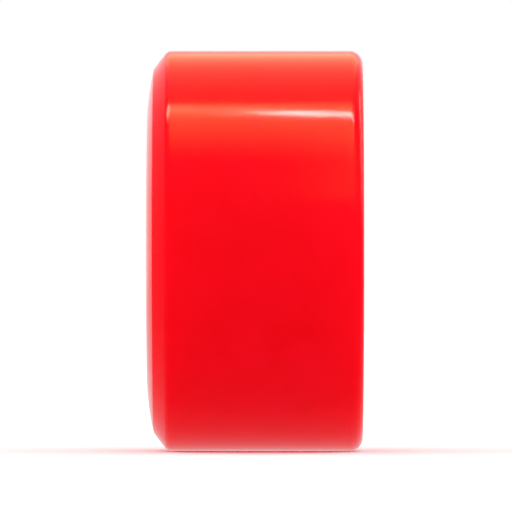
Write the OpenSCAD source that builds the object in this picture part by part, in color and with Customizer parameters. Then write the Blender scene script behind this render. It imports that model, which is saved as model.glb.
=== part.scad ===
// Quad roller skate wheel: a urethane tyre cast round a moulded hub that turns on two ball bearings.
// Millimetres, +Z up. The axle lies along Y and the wheel's centre is the origin.
// The left side (-Y) has a chamfered, domed shoulder, and the right side (+Y) is flat.

/* [Tyre] */
// Diameter over the tread
tyre_d = 65; // [58:0.5:75]
// Width over both sides
tyre_w = 35; // [31:0.5:45]
// Radius of the tread's edge on the flat side
tread_edge_r = 2.1; // [0.5:0.1:4]
// Axial width of the chamfer on the domed side
shoulder_w = 3.3; // [1.5:0.1:6]
// Radial depth of the chamfer on the domed side, down to the plane of the side
shoulder_h = 4.4; // [2:0.1:6]
// Radius that eases the chamfer into the tread
shoulder_ease = 1.2; // [0.3:0.1:2]
// Radius of the dome on the domed side
dome_r = 45; // [35:1:90]
// How much wider than the hub each recess is at its mouth, on the radius
recess_flare = 1.5; // [0.5:0.1:3]
// Radius of the lip round each recess
lip_round = 0.8; // [0.2:0.1:1.5]

/* [Hub] */
// Diameter of the rim that the tyre is cast on
rim_d = 39; // [36:0.5:44]
// Thickness of the rim
rim_wall = 2.7; // [2:0.1:3.5]
// Thickness of the collar round each bearing
collar_wall = 2.2; // [1.5:0.1:3]
// Thickness of the web in the middle, between the pockets of the two sides
web_t = 4; // [2:0.5:10]
// Number of pockets in each side
pocket_count = 8; // [5:1:9]
// Width of the ribs between the pockets
rib_w = 2.2; // [1.5:0.1:4]
// Width of the groove under the tyre that locks it on the hub
lock_w = 12; // [6:0.5:18]
// Depth of that groove
lock_depth = 1.3; // [0.5:0.1:1.6]
// Number of lugs that stand in the groove
lug_count = 12; // [6:1:18]
// Width of each lug, round the rim
lug_w = 2.4; // [1.5:0.1:4]
// Gap between each end of a lug and the side of the groove
lug_end_gap = 1; // [0.5:0.1:2]
// Depth of each bearing's outer face below the hub's face
bearing_recess = 0.85; // [0.3:0.05:2]
// Chamfer at the mouth of each bearing seat
seat_chamfer = 0.5; // [0.2:0.1:1]
// Height of the shoulder that each outer ring seats against
seat_shoulder = 1.2; // [0.5:0.1:1.3]

/* [Bearings] */
// Bore of the inner rings
bore_d = 8; // [7:0.1:9]
// Outside diameter of the outer rings
bearing_d = 22; // [21:0.1:24]
// Width of each bearing
bearing_w = 7; // [6.5:0.1:9]
// Diameter of the balls
ball_d = 3.969; // [3.5:0.001:4.2]
// Number of balls in each bearing
ball_count = 7; // [5:1:7]
// Gap between a ball and its raceways
race_gap = 0.05; // [0.03:0.01:0.1]
// Depth of each raceway below its land
race_depth = 0.58; // [0.3:0.01:0.8]
// Chamfer on the corners of the rings
ring_chamfer = 0.3; // [0.1:0.05:0.5]

/* [Shields] */
// Sheet thickness of the shields
shield_t = 0.3; // [0.2:0.05:0.4]
// Gap between a shield's plate and the cage
shield_gap = 0.4; // [0.2:0.05:0.6]
// Running gap between a shield and the inner ring's land
shield_run_gap = 0.2; // [0.1:0.05:0.5]
// Radial width of the flat flange that the shield is held by
flange_w = 0.9; // [0.6:0.05:1.2]
// Radial width of the step from the flange to the plate
dish_w = 0.3; // [0.1:0.05:0.6]
// Thickness of the snap rings
snap_t = 0.3; // [0.2:0.05:0.4]
// Radial width of the snap rings
snap_w = 0.8; // [0.5:0.05:0.85]
// Opening of the snap rings, in degrees
snap_opening = 36; // [10:1:60]
// Thickness of the outer ring's lip outside each snap ring
lip_t = 0.25; // [0.15:0.05:0.4]
// Radial step from the outer ring's land to that lip
lip_step = 0.5; // [0.3:0.05:0.6]
// Radial depth of the snap ring's groove behind the lip
groove_depth = 0.4; // [0.2:0.05:0.6]
// Clearance round the rim of each shield and snap ring
groove_gap = 0.05; // [0.03:0.01:0.1]

/* [Cages] */
// Sheet thickness of the cage halves
cage_t = 0.35; // [0.2:0.05:0.4]
// Radial width of the cage ribbon
cage_w = 1.6; // [1:0.1:2]
// Gap between a ball and its pocket
pocket_gap = 0.08; // [0.04:0.01:0.12]
// Diameter of the rivet shanks
rivet_d = 0.7; // [0.5:0.05:0.8]
// Diameter of the rivet heads
rivet_head_d = 1.1; // [0.9:0.05:1.2]
// Height of the rivet heads
rivet_head_h = 0.25; // [0.1:0.05:0.4]
// Gap between a rivet's shank and its hole
rivet_gap = 0.03; // [0.02:0.01:0.05]

/* [Spacer] */
// Length of the spacer, which is the distance between the two inner rings
spacer_l = 10.3; // [9:0.1:13]
// Outside diameter of the spacer
spacer_d = 10.2; // [9.6:0.1:11]
// Gap between the axle's bore and the bore of the spacer, on the radius
spacer_bore_gap = 0.02; // [0.01:0.01:0.2]
// Chamfer on the ends of the spacer
spacer_chamfer = 0.2; // [0.1:0.05:0.3]

/* [Hidden] */
$fn = 128;

// How far a cutting shape runs past the face that it cuts
over = 1;

tyre_r = tyre_d / 2;
tyre_half = tyre_w / 2;
rim_r = rim_d / 2;
recess_r = rim_r + recess_flare;

bearing_r = bearing_d / 2;
bearing_half = bearing_w / 2;
bearing_mid = spacer_l / 2 + bearing_half;
hub_half = spacer_l / 2 + bearing_w + bearing_recess;
shoulder_bore_r = bearing_r - seat_shoulder;

ball_r = ball_d / 2;
pitch_r = (bore_d + bearing_d) / 4;
race_r = ball_r + race_gap;
inner_land_r = pitch_r - race_r + race_depth;
outer_land_r = pitch_r + race_r - race_depth;

// Heights are counted from the middle of the bearing towards either face.
lip_z = bearing_half - lip_t;
snap_z = lip_z - snap_t;
flange_z = snap_z - shield_t;
lip_bore_r = outer_land_r + lip_step;
groove_r = lip_bore_r + groove_depth;
shield_r = groove_r - groove_gap;
flange_r = shield_r - flange_w;

ball_pocket_r = ball_r + pocket_gap;
cage_top = ball_pocket_r + cage_t;
plate_z = cage_top + shield_gap;
rivet_top = cage_t + rivet_head_h;
rivet_edge = rivet_head_h / 2;

SIDES = ["left", "right"];
BALLS = [for (i = [1 : ball_count]) str("ball_", i)];
BEARING_PIECES = concat(
  ["inner_ring", "outer_ring", "cage_inner_half", "cage_outer_half", "cage_rivets",
   "inner_shield", "outer_shield", "inner_snap_ring", "outer_snap_ring"],
  BALLS);

function unit(v) = v / norm(v);

// Half of the angle inside the corner at b, between the edges to a and to c
function half_angle(a, b, c) = acos(unit(a - b) * unit(c - b)) / 2;

// Distance from the corner at b to where a radius r meets its edges
function reach(a, b, c, r) = r / tan(half_angle(a, b, c));

// Lays a shape that is built round Z along the axle, with its +Z to the right.
module on_axle() {
  rotate([-90, 0, 0]) children();
}

// Places a piece of a bearing, whose +Z points away from the wheel's middle.
module in_bearing(side) {
  on_axle()
    mirror([0, 0, side == "left" ? 1 : 0])
      translate([0, 0, bearing_mid])
        children();
}

// Repeats a shape at the angle of each ball.
module at_balls() {
  for (i = [0 : ball_count - 1])
    rotate(i * 360 / ball_count) translate([pitch_r, 0, 0]) children();
}

// Repeats a shape halfway between the balls.
module between_balls() {
  rotate(180 / ball_count) at_balls() children();
}

module annulus(r_in, r_out) {
  difference() {
    circle(r_out);
    circle(r_in);
  }
}

// Outline that is the same above and below the middle plane, from its upper corners.
module mirrored_outline(upper) {
  lower = [for (i = [len(upper) - 1 : -1 : 0]) [upper[i].x, -upper[i].y]];
  polygon(concat(upper, lower));
}

// Outline with a true arc of its own radius at each outward corner, or a sharp corner where that is 0.
module rounded_outline(corners, radii) {
  n = len(corners);
  difference() {
    polygon(corners);
    for (i = [0 : n - 1])
      if (radii[i] > 0) {
        a = corners[(i + n - 1) % n];
        b = corners[i];
        c = corners[(i + 1) % n];
        t = reach(a, b, c, radii[i]);
        inward = unit(unit(a - b) + unit(c - b));
        polygon([b + t * unit(a - b), b - radii[i] * inward, b + t * unit(c - b)]);
      }
  }
  for (i = [0 : n - 1])
    if (radii[i] > 0) {
      a = corners[(i + n - 1) % n];
      b = corners[i];
      c = corners[(i + 1) % n];
      inward = unit(unit(a - b) + unit(c - b));
      translate(b + inward * radii[i] / sin(half_angle(a, b, c))) circle(radii[i]);
    }
}

// Half section of the tyre, with the ring of urethane that fills the hub's groove.
module tyre_section() {
  left_root = [rim_r, -hub_half];
  left_lip = [recess_r, -tyre_half];
  shoulder = [tyre_r - shoulder_h, -tyre_half];
  left_edge = [tyre_r, shoulder_w - tyre_half];
  right_edge = [tyre_r, tyre_half];
  right_lip = [recess_r, tyre_half];
  right_root = [rim_r, hub_half];
  dome_start = recess_r + reach(shoulder, left_lip, left_root, lip_round);
  dome_rise = sqrt(dome_r * dome_r - pow(dome_start - rim_r, 2));
  intersection() {
    union() {
      rounded_outline(
        [left_root, left_lip, shoulder, left_edge, right_edge, right_lip, right_root],
        [0, lip_round, 0, shoulder_ease, tread_edge_r, lip_round, 0]);
      translate([rim_r - lock_depth, -lock_w / 2]) square([2 * lock_depth, lock_w]);
    }
    translate([rim_r, dome_rise - tyre_half]) circle(dome_r);
  }
}

// Lugs that stand in the groove, rooted in the rim.
module lock_lugs() {
  linear_extrude(lock_w - 2 * lug_end_gap, center = true)
    for (i = [0 : lug_count - 1])
      rotate(i * 360 / lug_count)
        intersection() {
          annulus(rim_r - 2 * lock_depth, rim_r);
          translate([0, -lug_w / 2]) square([tyre_r, lug_w]);
        }
}

// Half section of the hub: shoulder bore, two bearing seats and the groove under the tyre.
module hub_section() {
  seat_top = hub_half - seat_chamfer;
  difference() {
    translate([shoulder_bore_r, -hub_half]) square([rim_r - shoulder_bore_r, 2 * hub_half]);
    for (up = [-1, 1])
      polygon([
        [0, up * spacer_l / 2],
        [bearing_r, up * spacer_l / 2],
        [bearing_r, up * seat_top],
        [bearing_r + seat_chamfer, up * hub_half],
        [bearing_r + seat_chamfer, up * (hub_half + over)],
        [0, up * (hub_half + over)]]);
    translate([rim_r - lock_depth, -lock_w / 2]) square([2 * lock_depth, lock_w]);
  }
}

// Outline of one side's pockets: the ring between collar and rim, divided by the ribs.
module pockets_outline() {
  difference() {
    annulus(bearing_r + collar_wall, rim_r - rim_wall);
    for (i = [0 : pocket_count - 1])
      rotate((i + 0.5) * 360 / pocket_count)
        translate([0, -rib_w / 2]) square([rim_r, rib_w]);
  }
}

module tyre() {
  color("red", 0.9)
    on_axle()
      difference() {
        rotate_extrude() tyre_section();
        lock_lugs();
      }
}

module hub() {
  color("ivory")
    on_axle()
      difference() {
        union() {
          rotate_extrude() hub_section();
          lock_lugs();
        }
        for (up = [0, 1])
          mirror([0, 0, up])
            translate([0, 0, web_t / 2])
              linear_extrude(hub_half + over - web_t / 2) pockets_outline();
      }
}

module bearing_spacer() {
  bore_r = bore_d / 2 + spacer_bore_gap;
  end = spacer_l / 2;
  color("lightslategray")
    on_axle()
      rotate_extrude()
        mirrored_outline([
          [bore_r, end - spacer_chamfer],
          [bore_r + spacer_chamfer, end],
          [spacer_d / 2 - spacer_chamfer, end],
          [spacer_d / 2, end - spacer_chamfer]]);
}

module inner_ring() {
  edge = bearing_half - ring_chamfer;
  color("silver")
    rotate_extrude()
      difference() {
        mirrored_outline([
          [bore_d / 2, edge],
          [bore_d / 2 + ring_chamfer, bearing_half],
          [inner_land_r - ring_chamfer, bearing_half],
          [inner_land_r, edge]]);
        translate([pitch_r, 0]) circle(race_r);
      }
}

module outer_ring() {
  color("silver")
    rotate_extrude()
      difference() {
        mirrored_outline([
          [outer_land_r, flange_z],
          [groove_r, flange_z],
          [groove_r, lip_z],
          [lip_bore_r, lip_z],
          [lip_bore_r, bearing_half],
          [bearing_r - ring_chamfer, bearing_half],
          [bearing_r, bearing_half - ring_chamfer]]);
        translate([pitch_r, 0]) circle(race_r);
      }
}

module ball(i) {
  color("gainsboro")
    rotate((i - 1) * 360 / ball_count)
      translate([pitch_r, 0, 0])
        sphere(ball_r);
}

// Flat outline of the cage ribbon, open at each ball and drilled for each rivet.
module ribbon_outline() {
  difference() {
    annulus(pitch_r - cage_w / 2, pitch_r + cage_w / 2);
    at_balls() circle(ball_pocket_r);
    between_balls() circle(rivet_d / 2 + rivet_gap);
  }
}

// Half ring that turns about the radial line through a ball into the shell over it.
module pocket_section() {
  half = cage_top + over;
  intersection() {
    annulus(ball_pocket_r, cage_top);
    translate([0, -half]) square([half, 2 * half]);
  }
}

// One half of the ribbon cage, on the outer side of the balls' plane.
module cage_half() {
  color("darkgray") {
    linear_extrude(cage_t) ribbon_outline();
    intersection() {
      linear_extrude(cage_top + over) annulus(pitch_r - cage_w / 2, pitch_r + cage_w / 2);
      at_balls() rotate([0, 90, 0]) rotate_extrude() pocket_section();
    }
  }
}

module cage_inner_half() {
  mirror([0, 0, 1]) cage_half();
}

module cage_outer_half() {
  cage_half();
}

module cage_rivets() {
  color("dimgray")
    between_balls()
      rotate_extrude()
        mirrored_outline([
          [0, rivet_top],
          [rivet_head_d / 2 - rivet_edge, rivet_top],
          [rivet_head_d / 2, rivet_top - rivet_edge],
          [rivet_head_d / 2, cage_t],
          [rivet_d / 2, cage_t]]);
}

// Dished sheet whose flange lies in the outer ring and whose plate covers the cage.
module shield() {
  shield_bore_r = inner_land_r + shield_run_gap;
  color("lightgray")
    rotate_extrude()
      polygon([
        [shield_bore_r, plate_z],
        [flange_r - dish_w, plate_z],
        [flange_r, flange_z],
        [shield_r, flange_z],
        [shield_r, flange_z + shield_t],
        [flange_r, flange_z + shield_t],
        [flange_r - dish_w, plate_z + shield_t],
        [shield_bore_r, plate_z + shield_t]]);
}

// Open spring ring between the shield's flange and the outer ring's lip.
module snap_ring() {
  color("gray")
    rotate(90 + snap_opening / 2)
      rotate_extrude(angle = 360 - snap_opening)
        translate([groove_r - groove_gap - snap_w, snap_z]) square([snap_w, snap_t]);
}

module inner_shield() {
  mirror([0, 0, 1]) shield();
}

module outer_shield() {
  shield();
}

module inner_snap_ring() {
  mirror([0, 0, 1]) snap_ring();
}

module outer_snap_ring() {
  snap_ring();
}

tyre();
hub();
bearing_spacer();
for (side = SIDES) {
  in_bearing(side) inner_ring();
  in_bearing(side) outer_ring();
  in_bearing(side) cage_inner_half();
  in_bearing(side) cage_outer_half();
  in_bearing(side) cage_rivets();
  in_bearing(side) inner_shield();
  in_bearing(side) outer_shield();
  in_bearing(side) inner_snap_ring();
  in_bearing(side) outer_snap_ring();
  for (i = [1 : ball_count])
    in_bearing(side) ball(i);
}
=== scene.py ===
import math

import bmesh
import bpy
from mathutils import Matrix, Vector


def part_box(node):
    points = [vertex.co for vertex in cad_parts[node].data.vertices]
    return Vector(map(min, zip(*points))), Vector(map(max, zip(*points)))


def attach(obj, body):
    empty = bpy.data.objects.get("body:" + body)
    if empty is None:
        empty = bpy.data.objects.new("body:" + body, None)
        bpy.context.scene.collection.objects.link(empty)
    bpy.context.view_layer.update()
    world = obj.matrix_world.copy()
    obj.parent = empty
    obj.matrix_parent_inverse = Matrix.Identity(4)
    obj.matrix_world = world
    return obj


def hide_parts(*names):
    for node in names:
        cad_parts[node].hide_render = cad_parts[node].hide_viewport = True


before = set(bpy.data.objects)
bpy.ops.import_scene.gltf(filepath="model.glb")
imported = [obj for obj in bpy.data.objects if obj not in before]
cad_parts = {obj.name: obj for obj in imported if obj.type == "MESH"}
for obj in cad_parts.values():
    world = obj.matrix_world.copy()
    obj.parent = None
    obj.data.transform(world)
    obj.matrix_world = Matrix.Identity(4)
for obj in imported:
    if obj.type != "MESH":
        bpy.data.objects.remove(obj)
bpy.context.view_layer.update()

# The hub is the wheel's core, injection moulded in natural nylon with ribs and pockets on both sides.
# The bearings press into its two seats, and a groove round its rim keys it to the tyre.
MM = 0.001
TINY = 1e-7
NEAR = 10 * TINY
FULL_TURN = 2 * math.pi
rim_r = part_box("hub")[1].z
hub_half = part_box("hub")[1].y
hub_edge = 0.2 * MM
hub_edge_segments = 2
hub_steps = 192
hub_smooth_angle = 40
seat_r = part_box("right_outer_ring")[1].z
seat_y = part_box("right_outer_ring")[0].y
seat_shoulder = 1.2 * MM
seat_chamfer = 0.5 * MM
seat_wall = 2.2 * MM
rim_wall = 2.7 * MM
lock_half = 6 * MM
lock_depth = 1.3 * MM


def start_section(name, r_low, r_high, y_low, y_high):
    """Adds a rectangle of a half section, radius along X and axle along Y, and goes into edit mode."""
    bpy.ops.object.select_all(action="DESELECT")
    bpy.ops.mesh.primitive_plane_add(size=1, location=((r_low + r_high) / 2, (y_low + y_high) / 2, 0))
    piece = bpy.context.object
    piece.name = name
    piece.data.name = name
    piece.scale = (r_high - r_low, y_high - y_low, 1)
    bpy.ops.object.transform_apply()
    bpy.ops.object.mode_set(mode="EDIT")
    return piece


def split_at(*heights):
    """Cuts the section across at each height, to give its sides new edges."""
    for y in heights:
        bpy.ops.mesh.select_all(action="SELECT")
        bpy.ops.mesh.bisect(plane_co=(0, y, 0), plane_no=(0, 1, 0), threshold=TINY)


def deselect_mesh(kind):
    """Clears the selection in edit mode, sets what is picked next, and gives the mesh to pick from."""
    bpy.ops.mesh.select_mode(type=kind)
    bpy.ops.mesh.select_all(action="DESELECT")
    return bmesh.from_edit_mesh(bpy.context.object.data)


def push_edge(r, y_low, y_high, dr, dy=0):
    """Extrudes the section's edge that lies at radius r between two heights."""
    for edge in deselect_mesh("EDGE").edges:
        ends = [vert.co for vert in edge.verts]
        edge.select_set(all(abs(p.x - r) < NEAR and y_low - NEAR < p.y < y_high + NEAR for p in ends))
    bmesh.update_edit_mesh(bpy.context.object.data)
    bpy.ops.mesh.extrude_region_move(TRANSFORM_OT_translate={"value": (dr, dy, 0)})


def keep_outline():
    """Leaves only the section's outer edges, without its faces."""
    bpy.ops.mesh.select_mode(type="EDGE")
    bpy.ops.mesh.select_all(action="SELECT")
    bpy.ops.mesh.region_to_loop()
    bpy.ops.mesh.select_all(action="INVERT")
    bpy.ops.mesh.delete(type="EDGE_FACE")
    bpy.ops.mesh.select_all(action="SELECT")
    bpy.ops.mesh.delete(type="ONLY_FACE")


def ease_corner(r, y, radius, segments):
    """Rounds the section's corner nearest a point, or chamfers it with one segment."""
    mesh = deselect_mesh("VERT")
    corner = min(mesh.verts, key=lambda vert: (vert.co - Vector((r, y, 0))).length)
    corner.select_set(True)
    sides = [edge.other_vert(corner).co - corner.co for edge in corner.link_edges]
    reach = radius / math.tan(sides[0].angle(sides[1]) / 2)
    bpy.ops.mesh.bevel(offset=reach, segments=segments, affect="VERTICES", clamp_overlap=False)


def spin_outline(steps, turn=FULL_TURN):
    """Turns the outline about the axle into a closed ring, or an open one, and leaves edit mode."""
    bpy.ops.mesh.select_mode(type="VERT")
    bpy.ops.mesh.select_all(action="SELECT")
    bpy.ops.mesh.spin(steps=steps, angle=turn, center=(0, 0, 0), axis=(0, 1, 0))
    bpy.ops.mesh.select_all(action="SELECT")
    bpy.ops.mesh.remove_doubles(threshold=TINY)
    bpy.ops.mesh.fill_holes(sides=0)
    bpy.ops.mesh.normals_make_consistent(inside=False)
    bpy.ops.object.mode_set(mode="OBJECT")


def cut_with(piece, tool):
    """Subtracts the tool from the piece and deletes the tool."""
    cut = piece.modifiers.new("cut", "BOOLEAN")
    cut.operation = "DIFFERENCE"
    cut.solver = "EXACT"
    cut.object = tool
    bpy.context.view_layer.objects.active = piece
    bpy.ops.object.modifier_apply(modifier=cut.name)
    bpy.data.objects.remove(tool)


def select_only(piece):
    """Selects one piece and makes it the active one."""
    bpy.ops.object.select_all(action="DESELECT")
    piece.select_set(True)
    bpy.context.view_layer.objects.active = piece


def smooth(piece, angle):
    """Smooths the faces that meet at less than an angle, and lets the large ones set the shading."""
    select_only(piece)
    bpy.ops.object.shade_smooth_by_angle(angle=math.radians(angle))
    even = piece.modifiers.new("even", "WEIGHTED_NORMAL")
    even.keep_sharp = True
    bpy.ops.object.modifier_apply(modifier=even.name)


hub = start_section("hub_core", seat_r, rim_r - lock_depth, -hub_half, hub_half)
split_at(-lock_half, -seat_y, seat_y, lock_half)
push_edge(seat_r, -seat_y, seat_y, -seat_shoulder)
for low, high in ((-hub_half, -lock_half), (lock_half, hub_half)):
    push_edge(rim_r - lock_depth, low, high, lock_depth)
keep_outline()
for side in (-1, 1):
    ease_corner(seat_r, side * hub_half, seat_chamfer, 1)
    ease_corner(rim_r, side * hub_half, hub_edge, hub_edge_segments)
spin_outline(hub_steps)

pocket_count = 8
pocket_r_low = seat_r + seat_wall
pocket_r_high = rim_r - rim_wall
pocket_corner = 0.7 * MM
pocket_corner_segments = 5
pocket_corner_angle = math.radians(140)
pocket_floor_r = 0.5 * MM
pocket_floor_segments = 3
pocket_run_out = 2 * MM
web_half = 2 * MM
rib_w = 2.2 * MM
pin_mark_r = 0.75 * MM
pin_mark_depth = 0.15 * MM
pin_mark_steps = 32


def face_out(piece):
    """Points the faces of a closed mesh outwards, in edit mode."""
    bpy.ops.mesh.select_all(action="SELECT")
    bpy.ops.mesh.normals_make_consistent(inside=False)
    if bmesh.from_edit_mesh(piece.data).calc_volume(signed=True) < 0:
        bpy.ops.mesh.flip_normals()


bpy.ops.object.select_all(action="DESELECT")
bpy.ops.mesh.primitive_circle_add(
    vertices=hub_steps, radius=pocket_r_high, location=(0, web_half, 0), rotation=(math.pi / 2, 0, 0))
pockets = bpy.context.object
bpy.ops.object.transform_apply()
bpy.ops.object.mode_set(mode="EDIT")
bpy.ops.mesh.extrude_edges_move()
shrink = pocket_r_low / pocket_r_high
bpy.ops.transform.resize(value=(shrink, 1, shrink), center_override=(0, web_half, 0))
ribs = [FULL_TURN * (i + 0.5) / pocket_count for i in range(pocket_count // 2)]
across_ribs = [Vector((-math.sin(turn), 0, math.cos(turn))) for turn in ribs]
for across in across_ribs:
    for side in (-1, 1):
        bpy.ops.mesh.select_all(action="SELECT")
        bpy.ops.mesh.bisect(plane_co=across * side * rib_w / 2, plane_no=across, threshold=TINY)
for face in deselect_mesh("FACE").faces:
    middle = face.calc_center_median()
    face.select_set(min(abs(middle.dot(across)) for across in across_ribs) < rib_w / 2)
bpy.ops.mesh.delete(type="FACE")
for vert in deselect_mesh("VERT").verts:
    sides = [edge.other_vert(vert).co - vert.co for edge in vert.link_edges if edge.is_boundary]
    vert.select_set(len(sides) == 2 and sides[0].angle(sides[1]) < pocket_corner_angle)
bpy.ops.mesh.bevel(offset=pocket_corner, segments=pocket_corner_segments, affect="VERTICES")
keep_outline()
bpy.ops.mesh.select_all(action="SELECT")
bpy.ops.mesh.extrude_edges_move(TRANSFORM_OT_translate={"value": (0, hub_half - hub_edge - web_half, 0)})
bpy.ops.mesh.select_all(action="SELECT")
bpy.ops.mesh.fill_holes(sides=0)
face_out(pockets)
for face in deselect_mesh("FACE").faces:
    face.select_set(abs(face.normal.y) > 0.5 and face.calc_center_median().y > hub_half / 2)
bpy.ops.mesh.delete(type="ONLY_FACE")
for edge in deselect_mesh("EDGE").edges:
    edge.select_set(min(vert.co.y for vert in edge.verts) > hub_half / 2)
bpy.ops.mesh.extrude_edges_move(TRANSFORM_OT_translate={"value": (0, hub_edge, 0)})
bpy.ops.transform.shrink_fatten(value=hub_edge, use_even_offset=True)
bpy.ops.mesh.extrude_edges_move(TRANSFORM_OT_translate={"value": (0, pocket_run_out, 0)})
bpy.ops.mesh.select_all(action="SELECT")
bpy.ops.mesh.fill_holes(sides=0)
face_out(pockets)
for edge in deselect_mesh("EDGE").edges:
    edge.select_set(max(vert.co.y for vert in edge.verts) < web_half + TINY)
bpy.ops.mesh.bevel(offset=pocket_floor_r, segments=pocket_floor_segments)
mark_r = (pocket_r_high + rim_r) / 2
for turn in ribs + [turn + math.pi for turn in ribs]:
    bpy.ops.mesh.primitive_cylinder_add(
        vertices=pin_mark_steps, radius=pin_mark_r, depth=2 * pin_mark_depth, rotation=(math.pi / 2, 0, 0),
        location=(mark_r * math.cos(turn), hub_half, mark_r * math.sin(turn)))
bpy.ops.mesh.select_all(action="SELECT")
bpy.ops.mesh.duplicate()
bpy.ops.transform.rotate(value=math.pi, orient_axis="X", center_override=(0, 0, 0))
bpy.ops.object.mode_set(mode="OBJECT")
cut_with(hub, pockets)
smooth(hub, hub_smooth_angle)


class Shade:
    """A shader socket. Arithmetic on it adds Math nodes, and node() adds any other node to its tree."""

    def __init__(self, tree, socket=None):
        self.tree = tree
        self.socket = socket

    def feed(self, inlet, value):
        """Links a Shade to a node's inlet, or sets the inlet to a plain value."""
        if isinstance(value, Shade):
            self.tree.links.new(value.socket, inlet)
        else:
            inlet.default_value = value

    def node(self, kind, settings, sockets, out=0):
        """Adds a node, makes its settings, feeds its sockets and gives one of its outlets."""
        made = self.tree.nodes.new("ShaderNode" + kind)
        for name, value in settings.items():
            setattr(made, name, value)
        for name, value in sockets.items():
            self.feed(made.inputs[name], value)
        return Shade(self.tree, made.outputs[out])

    def outlet(self, name):
        """Another outlet of the node that this one comes from."""
        return Shade(self.tree, self.socket.node.outputs[name])

    def math(self, operation, *values):
        """Adds a Math node on these values."""
        return self.node("Math", {"operation": operation}, dict(enumerate(values)))

    def __add__(self, other):
        return self.math("ADD", self, other)

    def __mul__(self, other):
        return self.math("MULTIPLY", self, other)

    __radd__ = __add__
    __rmul__ = __mul__

    def step(self, low, high):
        """0 below low and 1 above high, with a smooth rise between."""
        return self.node("MapRange", {"interpolation_type": "SMOOTHSTEP"}, {0: self, 1: low, 2: high})

    def mix(self, a, b):
        """The colour a where this is 0 and b where it is 1."""
        return self.node("Mix", {"data_type": "RGBA"}, {0: self, 6: a, 7: b}, out=2)


def new_finish(name, constants):
    """Makes a material, sets its constant sockets, and gives it with its surface and a Shade to build on."""
    finish = bpy.data.materials.new(name)
    finish.use_nodes = True
    surface = finish.node_tree.nodes["Principled BSDF"]
    for socket, value in constants.items():
        surface.inputs[socket].default_value = value
    return finish, surface, Shade(finish.node_tree)


def noise(shade, place, per_metre, detail, distortion=0.0):
    """Cloudy 0 to 1 noise in space."""
    return shade.node(
        "TexNoise", {}, {"Vector": place, "Scale": per_metre, "Detail": detail, "Distortion": distortion})


def bump(shade, height, depth, strength):
    """A normal for a height from 0 to 1 that is so many metres deep."""
    return shade.node("Bump", {}, {"Height": height, "Distance": depth, "Strength": strength})


def paint(piece, finish):
    """Gives a piece its one material."""
    piece.data.materials.clear()
    piece.data.materials.append(finish)


def finish_piece(piece, finish, body, slot, *nodes):
    """Gives a new piece its material and its body, and hides the nodes that it stands for. The slot is not
    used.
    """
    paint(piece, finish)
    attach(piece, body)
    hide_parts(*nodes)


fresh_ivory = (0.82, 0.79, 0.71, 1)
aged_ivory = (0.77, 0.735, 0.64, 1)
flow_ivory = (0.85, 0.83, 0.77, 1)
nylon, surface, shade = new_finish(
    "natural_nylon",
    {"IOR": 1.53, "Subsurface Weight": 0.25, "Subsurface Radius": (1.0, 0.8, 0.55),
     "Subsurface Scale": 1.5 * MM})
place = shade.node("TexCoord", {}, {}, out="Object")
cloud = noise(shade, place, per_metre=220, detail=3, distortion=0.6)
flow = noise(shade, place, per_metre=1400, detail=4)
grain = noise(shade, place, per_metre=9000, detail=3)
ivory = cloud.step(0.3, 0.7).mix(fresh_ivory, aged_ivory)
shade.feed(surface.inputs["Base Color"], (flow.step(0.58, 0.75) * 0.35).mix(ivory, flow_ivory))
shade.feed(surface.inputs["Roughness"], 0.36 + cloud * 0.12 + grain * 0.12)
shade.feed(surface.inputs["Normal"], bump(shade, grain * 0.6 + flow * 0.4, depth=0.03 * MM, strength=0.6))
finish_piece(hub, nylon, "wheel", "nylon", "hub")

# The tyre is one ring of translucent urethane, cast round the hub and turned to its width and diameter.
# Its left side is domed, with a chamfered shoulder, and its right side is flat with a small edge radius.
tyre_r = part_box("tyre")[1].z
tyre_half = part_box("tyre")[1].y
tyre_steps = 256
tyre_smooth_angle = 25
lip_w = 1.5 * MM
recess_r = rim_r + lip_w
lip_round = 0.8 * MM
lip_segments = 6
tread_edge_r = 2.1 * MM
tread_edge_segments = 10
shoulder_w = 3.3 * MM
shoulder_h = 4.4 * MM
shoulder_ease = 1.2 * MM
shoulder_segments = 6
dome_r = 45 * MM
dome_cuts = 12


def cut_off(a, b):
    """Cuts away what lies to the right of the line from a to b in the section."""
    out = Vector((b[1] - a[1], a[0] - b[0], 0)).normalized()
    bpy.ops.mesh.select_all(action="SELECT")
    bpy.ops.mesh.bisect(plane_co=(*a, 0), plane_no=out, clear_outer=True, threshold=TINY)


tyre = start_section("urethane_tyre", rim_r, tyre_r, -tyre_half, tyre_half)
cut_off((rim_r, -hub_half), (recess_r, -tyre_half))
cut_off((recess_r, tyre_half), (rim_r, hub_half))
cut_off((tyre_r - shoulder_h, -tyre_half), (tyre_r, shoulder_w - tyre_half))
lip_corner = Vector((rim_r - recess_r, tyre_half - hub_half))
lip_reach = lip_round / math.tan(lip_corner.angle(Vector((1, 0))) / 2)
dome_start = math.asin((recess_r + lip_reach - rim_r) / dome_r)
dome_end = math.asin((tyre_r - rim_r) / dome_r)
dome_y = dome_r * math.cos(dome_start) - tyre_half
for i in range(dome_cuts):
    turn = dome_start + (dome_end - dome_start) * (i + 0.5) / dome_cuts
    touch = Vector((rim_r + dome_r * math.sin(turn), dome_y - dome_r * math.cos(turn)))
    cut_off(touch, touch + Vector((math.cos(turn), math.sin(turn))))
split_at(-lock_half, lock_half)
push_edge(rim_r, -lock_half, lock_half, -lock_depth)
keep_outline()
ease_corner(tyre_r, tyre_half, tread_edge_r, tread_edge_segments)
ease_corner(tyre_r, shoulder_w - tyre_half, shoulder_ease, shoulder_segments)
for side in (-1, 1):
    ease_corner(recess_r, side * tyre_half, lip_round, lip_segments)
spin_outline(tyre_steps)
smooth(tyre, tyre_smooth_angle)


def radius_of(axes):
    """Distance from the axle."""
    x = axes.outlet("X")
    z = axes.outlet("Z")
    return axes.math("SQRT", x * x + z * z)


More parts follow.
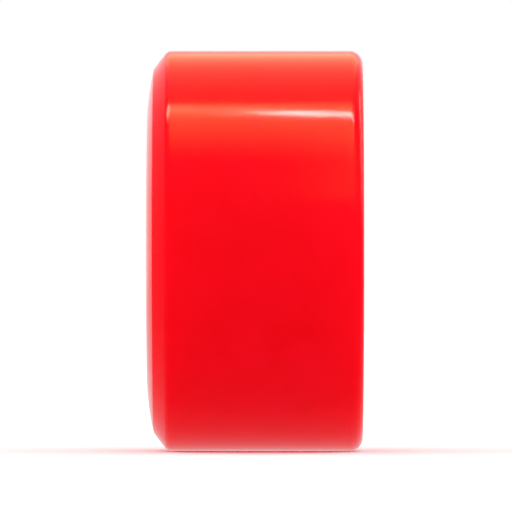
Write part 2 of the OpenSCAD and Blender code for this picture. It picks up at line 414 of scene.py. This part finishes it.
def rings(shade, distance, per_metre, detail):
    """Fine lines, 0 to 1, that change only with a distance, as turning or brushing leaves them."""
    return shade.node(
        "TexNoise", {"noise_dimensions": "1D"}, {"W": distance, "Scale": per_metre, "Detail": detail})


bright_red = (0.95, 0.0004, 0.009, 1)
deep_red = (0.90, 0.0003, 0.006, 1)
speck_red = (0.80, 0.0003, 0.005, 1)
urethane, surface, shade = new_finish(
    "cast_urethane",
    {"IOR": 1.5, "Specular IOR Level": 0.05,
     "Subsurface Weight": 1.0, "Subsurface Radius": (1.0, 0.12, 0.1), "Subsurface Scale": 6 * MM})
place = shade.node("TexCoord", {}, {}, out="Object")
axes = shade.node("SeparateXYZ", {}, {"Vector": place})
cloud = noise(shade, place, per_metre=90, detail=3, distortion=0.8)
speck = noise(shade, place, per_metre=2600, detail=2)
turned = rings(shade, radius_of(axes) + axes.outlet("Y"), per_metre=2500, detail=3)
red = cloud.step(0.3, 0.7).mix(bright_red, deep_red)
shade.feed(surface.inputs["Base Color"], (speck.step(0.66, 0.8) * 0.25).mix(red, speck_red))
shade.feed(surface.inputs["Roughness"], 0.08 + cloud * 0.04 + turned * 0.03)
shade.feed(surface.inputs["Normal"], bump(shade, turned * 0.7 + speck * 0.3, depth=0.006 * MM, strength=0.5))
finish_piece(tyre, urethane, "wheel", "urethane", "tyre")

# Each bearing's rings are hardened steel, turned and then ground, with a raceway cut as a torus.
# The inner rings clamp on the axle, and the outer rings press into the hub's seats.
ring_steps = 160
ring_edge = 0.3 * MM
ring_edge_segments = 3
ring_smooth_angle = 30
bearing_half = (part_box("right_outer_ring")[1].y - seat_y) / 2
bearing_mid = seat_y + bearing_half
bore_r = 4 * MM
land_r_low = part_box("right_inner_ring")[1].z
pitch_r = (bore_r + seat_r) / 2
land_r_high = 2 * pitch_r - land_r_low
race_r = 2.0345 * MM
race_steps = 48
lip_t = 0.25 * MM
lip_edge_segments = 2
snap_t = 0.3 * MM
shield_t = 0.3 * MM
lip_y = bearing_half - lip_t
flange_y = lip_y - snap_t - shield_t
plate_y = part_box("right_outer_shield")[1].y - bearing_mid - shield_t
notch_depth = 0.35 * MM
notch_r = land_r_low - notch_depth
notch_gap = 0.15 * MM
notch_y = plate_y - notch_gap
lip_step = 0.5 * MM
lip_bore_r = land_r_high + lip_step
groove_depth = 0.4 * MM
groove_r = lip_bore_r + groove_depth


def cut_race(piece):
    """Grinds the balls' raceway into a ring that still lies at the wheel's middle."""
    bpy.ops.object.select_all(action="DESELECT")
    bpy.ops.mesh.primitive_torus_add(
        major_segments=ring_steps, minor_segments=race_steps, major_radius=pitch_r, minor_radius=race_r,
        rotation=(math.pi / 2, 0, 0))
    cut_with(piece, bpy.context.object)


def place_pair(piece, names, has_side):
    """Moves a piece out to the right bearing and puts a twin in the left, turned round if it has a side."""
    select_only(piece)
    bpy.ops.object.duplicate()
    twin = bpy.context.object
    for one, name, side in ((piece, names[0], 1), (twin, names[1], -1)):
        one.name = name
        one.data.name = name
        select_only(one)
        bpy.ops.object.mode_set(mode="EDIT")
        bpy.ops.mesh.select_all(action="SELECT")
        if has_side and side < 0:
            bpy.ops.transform.rotate(value=math.pi, orient_axis="Z", center_override=(0, 0, 0))
        bpy.ops.transform.translate(value=(0, side * bearing_mid, 0))
        bpy.ops.object.mode_set(mode="OBJECT")
    return piece, twin


inner = start_section("inner_ring", bore_r, notch_r, -bearing_half, bearing_half)
split_at(-notch_y, notch_y)
push_edge(notch_r, -notch_y, notch_y, land_r_low - notch_r)
keep_outline()
for r in (bore_r, notch_r):
    for side in (-1, 1):
        ease_corner(r, side * bearing_half, ring_edge, ring_edge_segments)
spin_outline(ring_steps)
cut_race(inner)
smooth(inner, ring_smooth_angle)
inner_pair = place_pair(inner, ("right_inner_race", "left_inner_race"), has_side=False)

outer = start_section("outer_ring", groove_r, seat_r, -bearing_half, bearing_half)
split_at(-lip_y, -flange_y, flange_y, lip_y)
push_edge(groove_r, -flange_y, flange_y, land_r_high - groove_r)
for low, high in ((-bearing_half, -lip_y), (lip_y, bearing_half)):
    push_edge(groove_r, low, high, lip_bore_r - groove_r)
keep_outline()
for side in (-1, 1):
    ease_corner(seat_r, side * bearing_half, ring_edge, ring_edge_segments)
    ease_corner(lip_bore_r, side * bearing_half, lip_t / 2, lip_edge_segments)
spin_outline(ring_steps)
cut_race(outer)
smooth(outer, ring_smooth_angle)
outer_pair = place_pair(outer, ("right_outer_race", "left_outer_race"), has_side=False)

bright_steel = (0.66, 0.67, 0.69, 1)
smeared_steel = (0.58, 0.59, 0.61, 1)
ground_steel, surface, shade = new_finish("ground_steel", {"Metallic": 1.0})
place = shade.node("TexCoord", {}, {}, out="Object")
axes = shade.node("SeparateXYZ", {}, {"Vector": place})
turned = rings(shade, radius_of(axes) + axes.outlet("Y"), per_metre=9000, detail=4)
smear = noise(shade, place, per_metre=600, detail=4, distortion=1.0)
shade.feed(surface.inputs["Base Color"], smear.step(0.35, 0.7).mix(bright_steel, smeared_steel))
shade.feed(surface.inputs["Roughness"], 0.14 + turned * 0.14 + smear * 0.10)
shade.feed(surface.inputs["Normal"], bump(shade, turned, depth=0.004 * MM, strength=0.5))
for side, inner, outer in zip(("right", "left"), inner_pair, outer_pair):
    finish_piece(inner, ground_steel, "axle_core", "ring_steel", f"{side}_inner_ring")
    finish_piece(outer, ground_steel, "wheel", "ring_steel", f"{side}_outer_ring")

# Seven polished steel balls run in each bearing, spaced by a cage that is pressed from strip in two halves.
# Seven rivets join the halves. The shields hide all of these, so the solids themselves carry the finish.
ball_shine = (0.74, 0.74, 0.75, 1)
strip_dark = (0.50, 0.49, 0.47, 1)
strip_pale = (0.60, 0.59, 0.57, 1)
polished_steel, surface, shade = new_finish("polished_steel", {"Metallic": 1.0, "Base Color": ball_shine})
place = shade.node("TexCoord", {}, {}, out="Object")
haze = noise(shade, place, per_metre=900, detail=3)
shade.feed(surface.inputs["Roughness"], 0.04 + haze * 0.06)

pressed_steel, surface, shade = new_finish("pressed_steel", {"Metallic": 1.0})
place = shade.node("TexCoord", {}, {}, out="Object")
rolled = noise(shade, place, per_metre=2500, detail=4)
shade.feed(surface.inputs["Base Color"], rolled.mix(strip_dark, strip_pale))
shade.feed(surface.inputs["Roughness"], 0.25 + rolled * 0.2)
shade.feed(surface.inputs["Normal"], bump(shade, rolled, depth=0.01 * MM, strength=0.4))

for name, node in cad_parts.items():
    if "_ball_" in name:
        paint(node, polished_steel)
    elif "_cage_" in name:
        paint(node, pressed_steel)

# A dished shield of thin plated sheet closes each face of a bearing, clear in the inner ring's notch.
# An open spring ring holds it in the outer ring's groove. Only the outer ones show.
shield_gap = 0.2 * MM
shield_bore_r = notch_r + shield_gap
groove_gap = 0.05 * MM
shield_r = groove_r - groove_gap
flange_w = 0.9 * MM
flange_r = shield_r - flange_w
dish_w = 0.3 * MM
sheet_round = 0.1 * MM
sheet_segments = 3
sheet_smooth_angle = 40
snap_w = 0.8 * MM
snap_segments = 2
snap_steps = 144
snap_opening = math.radians(36)

shield = start_section("shield", shield_bore_r, flange_r - dish_w, plate_y, plate_y + shield_t)
push_edge(flange_r - dish_w, plate_y, plate_y + shield_t, dish_w, flange_y - plate_y)
push_edge(flange_r, flange_y, flange_y + shield_t, shield_r - flange_r)
keep_outline()
for r, y in ((shield_bore_r, plate_y + shield_t), (shield_r, flange_y + shield_t), (shield_r, flange_y)):
    ease_corner(r, y, sheet_round, sheet_segments)
spin_outline(ring_steps)
smooth(shield, sheet_smooth_angle)
shields = place_pair(shield, ("right_shield", "left_shield"), has_side=True)

snap = start_section("snap_ring", shield_r - snap_w, shield_r, flange_y + shield_t, lip_y)
keep_outline()
for r in (shield_r - snap_w, shield_r):
    for y in (flange_y + shield_t, lip_y):
        ease_corner(r, y, snap_t / 4, snap_segments)
spin_outline(snap_steps, FULL_TURN - snap_opening)
bpy.ops.object.mode_set(mode="EDIT")
bpy.ops.mesh.select_all(action="SELECT")
bpy.ops.transform.rotate(value=snap_opening / 2 - math.pi / 2, orient_axis="Y", center_override=(0, 0, 0))
bpy.ops.object.mode_set(mode="OBJECT")
smooth(snap, sheet_smooth_angle)
snap_rings = place_pair(snap, ("right_snap_ring", "left_snap_ring"), has_side=True)

plate_bright = (0.73, 0.73, 0.72, 1)
plate_smeared = (0.62, 0.62, 0.62, 1)
plated_sheet, surface, shade = new_finish("plated_sheet", {"Metallic": 1.0})
place = shade.node("TexCoord", {}, {}, out="Object")
axes = shade.node("SeparateXYZ", {}, {"Vector": place})
brushed = rings(shade, radius_of(axes), per_metre=14000, detail=4)
smear = noise(shade, place, per_metre=420, detail=4, distortion=1.2)
shade.feed(surface.inputs["Base Color"], smear.step(0.3, 0.75).mix(plate_bright, plate_smeared))
shade.feed(surface.inputs["Roughness"], 0.22 + brushed * 0.16 + smear * 0.1)
shade.feed(surface.inputs["Normal"], bump(shade, brushed, depth=0.005 * MM, strength=0.6))

scale_dark = (0.30, 0.30, 0.31, 1)
scale_pale = (0.42, 0.41, 0.40, 1)
spring_steel, surface, shade = new_finish("spring_steel", {"Metallic": 1.0})
place = shade.node("TexCoord", {}, {}, out="Object")
scale = noise(shade, place, per_metre=1800, detail=4)
shade.feed(surface.inputs["Base Color"], scale.mix(scale_dark, scale_pale))
shade.feed(surface.inputs["Roughness"], 0.28 + scale * 0.2)

for side, shield, snap in zip(("right", "left"), shields, snap_rings):
    finish_piece(shield, plated_sheet, "wheel", "shield_steel", f"{side}_outer_shield")
    finish_piece(snap, spring_steel, "wheel", "spring_steel", f"{side}_outer_snap_ring")
    paint(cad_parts[f"{side}_inner_shield"], plated_sheet)
    paint(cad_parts[f"{side}_inner_snap_ring"], spring_steel)

# The spacer is a plain sleeve, turned from steel bar, that stands between the two inner rings.
# It keeps the bearings from being squeezed together when the wheel is clamped on its axle.
spacer_bore_gap = 0.02 * MM
spacer_bore_r = bore_r + spacer_bore_gap
spacer_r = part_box("bearing_spacer")[1].z
spacer_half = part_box("bearing_spacer")[1].y
spacer_edge = 0.2 * MM
spacer_edge_segments = 2
spacer_steps = 128
spacer_smooth_angle = 40

spacer = start_section("spacer_sleeve", spacer_bore_r, spacer_r, -spacer_half, spacer_half)
keep_outline()
for r in (spacer_bore_r, spacer_r):
    for side in (-1, 1):
        ease_corner(r, side * spacer_half, spacer_edge, spacer_edge_segments)
spin_outline(spacer_steps)
smooth(spacer, spacer_smooth_angle)

turned_dark = (0.50, 0.51, 0.53, 1)
turned_pale = (0.60, 0.61, 0.63, 1)
turned_steel, surface, shade = new_finish("turned_steel", {"Metallic": 1.0})
place = shade.node("TexCoord", {}, {}, out="Object")
axes = shade.node("SeparateXYZ", {}, {"Vector": place})
feed_lines = rings(shade, axes.outlet("Y") + radius_of(axes), per_metre=7000, detail=2)
shade.feed(surface.inputs["Base Color"], feed_lines.mix(turned_dark, turned_pale))
shade.feed(surface.inputs["Roughness"], 0.25 + feed_lines * 0.2)
shade.feed(surface.inputs["Normal"], bump(shade, feed_lines, depth=0.01 * MM, strength=0.6))
finish_piece(spacer, turned_steel, "axle_core", "spacer_steel", "bearing_spacer")

# The studio is a pale floor in a white room, which the camera and the gloss both see, lit from all round.
# Soft boxes above give the tread's glow and thin tubes its streaks. These lamps light the gloss alone.
bpy.context.scene.view_settings.view_transform = "Standard"
floor_size = 6.0
paper_white = (0.92, 0.92, 0.92, 1)
floor_glow = (0.82, 0.82, 0.82, 1)
bpy.ops.object.select_all(action="DESELECT")
bpy.ops.mesh.primitive_plane_add(size=floor_size, location=(0, 0, -tyre_r))
floor = bpy.context.object
floor.name = "floor"
paper, surface, shade = new_finish(
    "floor_paper", {"Base Color": paper_white, "Roughness": 0.8, "Specular IOR Level": 0.0})
camera_ray = shade.node("LightPath", {}, {}, out="Is Camera Ray")
glow = shade.node("Emission", {}, {"Color": floor_glow, "Strength": 1.0})
top = shade.node("MixShader", {}, {0: camera_ray, 1: glow, 2: Shade(shade.tree, surface.outputs[0])})
shade.feed(shade.tree.nodes["Material Output"].inputs["Surface"], top)
paper.cycles.emission_sampling = "NONE"
floor.data.materials.append(paper)

white_wall = (1.0, 1.0, 1.0, 1)
ceiling_light = (1.2, 1.2, 1.2, 1)
side_light = (1.7, 1.7, 1.7, 1)
room = bpy.data.worlds.new("room")
bpy.context.scene.world = room
room.use_nodes = True
room.cycles.sampling_method = "NONE"
shade = Shade(room.node_tree)
toward = shade.node("TexCoord", {}, {}, out="Generated")
axes = shade.node("SeparateXYZ", {}, {"Vector": toward})
aside = shade.math("ABSOLUTE", axes.outlet("Y"))
lit = axes.outlet("Z").step(-0.6, 1.0).mix(white_wall, ceiling_light)
lit = (aside.step(0.3, 1.0) * 0.6).mix(lit, side_light)
camera_ray = shade.node("LightPath", {}, {}, out="Is Camera Ray")
glossy_ray = camera_ray.outlet("Is Glossy Ray")
clear_ray = camera_ray.outlet("Is Transmission Ray")
seen = shade.math("MAXIMUM", camera_ray, shade.math("MAXIMUM", glossy_ray, clear_ray))
shade.feed(room.node_tree.nodes["Background"].inputs["Color"], seen.mix(lit, white_wall))


def hang_lamp(name, start, end, width, radiance, colour):
    """A flat lamp from one point to another, which faces the wheel and lights only its gloss."""
    start = Vector(start)
    run = Vector(end) - start
    middle = start + run / 2
    back = (middle - middle.project(run)).normalized()
    light = bpy.data.lights.new(name, "AREA")
    light.shape = "RECTANGLE"
    light.size = run.length
    light.size_y = width
    light.energy = radiance * math.pi * width * run.length
    light.color = colour
    lamp = bpy.data.objects.new(name, light)
    along_lamp = run.normalized()
    lamp.matrix_world = Matrix.LocRotScale(
        middle, Matrix((along_lamp, back.cross(along_lamp), back)).transposed(), None)
    lamp.visible_camera = False
    lamp.visible_diffuse = False
    bpy.context.scene.collection.objects.link(lamp)


white = (1.0, 0.97, 0.97)
warm = (1.0, 0.93, 0.6)
gold = (1.0, 0.86, 0.22)
tube_z = 0.28
bends = [
    (-0.008, -0.19, tube_z), (0.0165, -0.036, tube_z), (0.0345, 0.0030, tube_z), (0.0485, 0.0185, tube_z),
    (0.050, 0.12, tube_z)]
hang_lamp("far_left_tube", bends[0], bends[1], width=0.03, radiance=91, colour=warm)
hang_lamp("left_tube", bends[1], bends[2], width=0.02, radiance=13, colour=warm)
hang_lamp("middle_tube", bends[2], bends[3], width=0.011, radiance=106, colour=white)
hang_lamp("right_tube", bends[3], bends[4], width=0.012, radiance=103, colour=white)
short_z = tube_z - 1 * MM
hang_lamp(
    "short_tube", (0.0368, 0.005, short_z), (0.0440, 0.0125, short_z),
    width=0.009, radiance=114, colour=white)

box_distance = 0.75
box_half = 0.3
for name, lean, half_angle, radiance in (
        ("back_box", -34, 33, 1.6), ("top_box", 4, 6, 14), ("front_box_1", 14, 4, 11.4),
        ("front_box_2", 22, 4, 6.6), ("front_box_3", 30, 4, 2.6)):
    x = box_distance * math.sin(math.radians(lean))
    z = box_distance * math.cos(math.radians(lean))
    width = 2 * box_distance * math.tan(math.radians(half_angle))
    hang_lamp(name, (x, -box_half, z), (x, box_half, z), width, radiance, gold)
hang_lamp(
    "right_front_box", (0.235, 0.014, tube_z), (0.235, 0.30, tube_z),
    width=0.29, radiance=4, colour=gold)
hang_lamp("right_box", (-0.25, 0.78, 0.15), (-0.5, 0.55, 0.5), width=0.2, radiance=6, colour=warm)

camera_distance = 1.95
image_px = 512
wheel_px = 400
metres_per_px = 2 * tyre_r / wheel_px
off_left_px = 1.1
off_up_px = 5
sight = bpy.data.cameras.new("camera")
sight.sensor_width = 36
sight.lens = sight.sensor_width * camera_distance / (image_px * metres_per_px)
camera = bpy.data.objects.new("camera", sight)
camera.location = (camera_distance, off_left_px * metres_per_px, -off_up_px * metres_per_px)
camera.rotation_euler = (math.pi / 2, 0, math.pi / 2)
bpy.context.scene.collection.objects.link(camera)
bpy.context.scene.camera = camera
